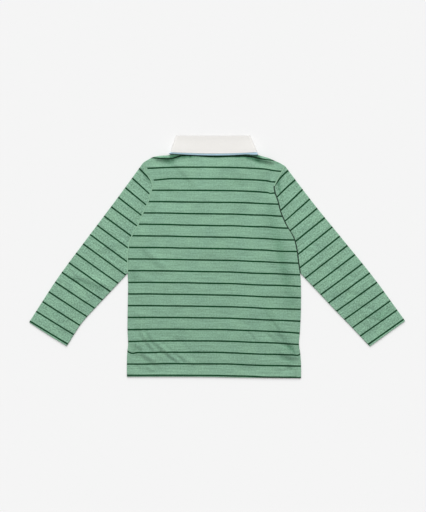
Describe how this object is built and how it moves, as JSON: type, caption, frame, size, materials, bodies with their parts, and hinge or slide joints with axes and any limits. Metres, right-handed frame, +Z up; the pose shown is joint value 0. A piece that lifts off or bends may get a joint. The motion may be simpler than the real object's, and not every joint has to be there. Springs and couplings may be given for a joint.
{
  "type": "polo shirt",
  "caption": "Child's long-sleeved striped knit polo shirt, lying flat and face down, with a folded white collar and short side vents.",
  "frame": {"origin": "on the surface that the shirt lies on, under the middle of the shirt's bounding box", "axes": "+X across the shirt, from the left cuff to the right cuff as seen from above; +Y from the hem towards the collar; +Z up from the surface"},
  "size_m": [0.75, 0.4858, 0.0087],
  "materials": {
    "green_knit": "fine matte cotton knit, light green with thin dark green stripes",
    "white_knit": "matte off-white cotton knit",
    "blue_knit": "matte light blue cotton knit",
    "button": "pale pearly plastic"
  },
  "bodies": {
    "root": {"back": "green_knit", "front": "green_knit", "sleeve_left": "green_knit", "sleeve_right": "green_knit", "placket_outer": "green_knit", "placket_inner": "green_knit", "collar": "white_knit", "under_collar": "blue_knit", "button_1": "button", "button_2": "button", "button_3": "button"}
  },
  "joints": []
}
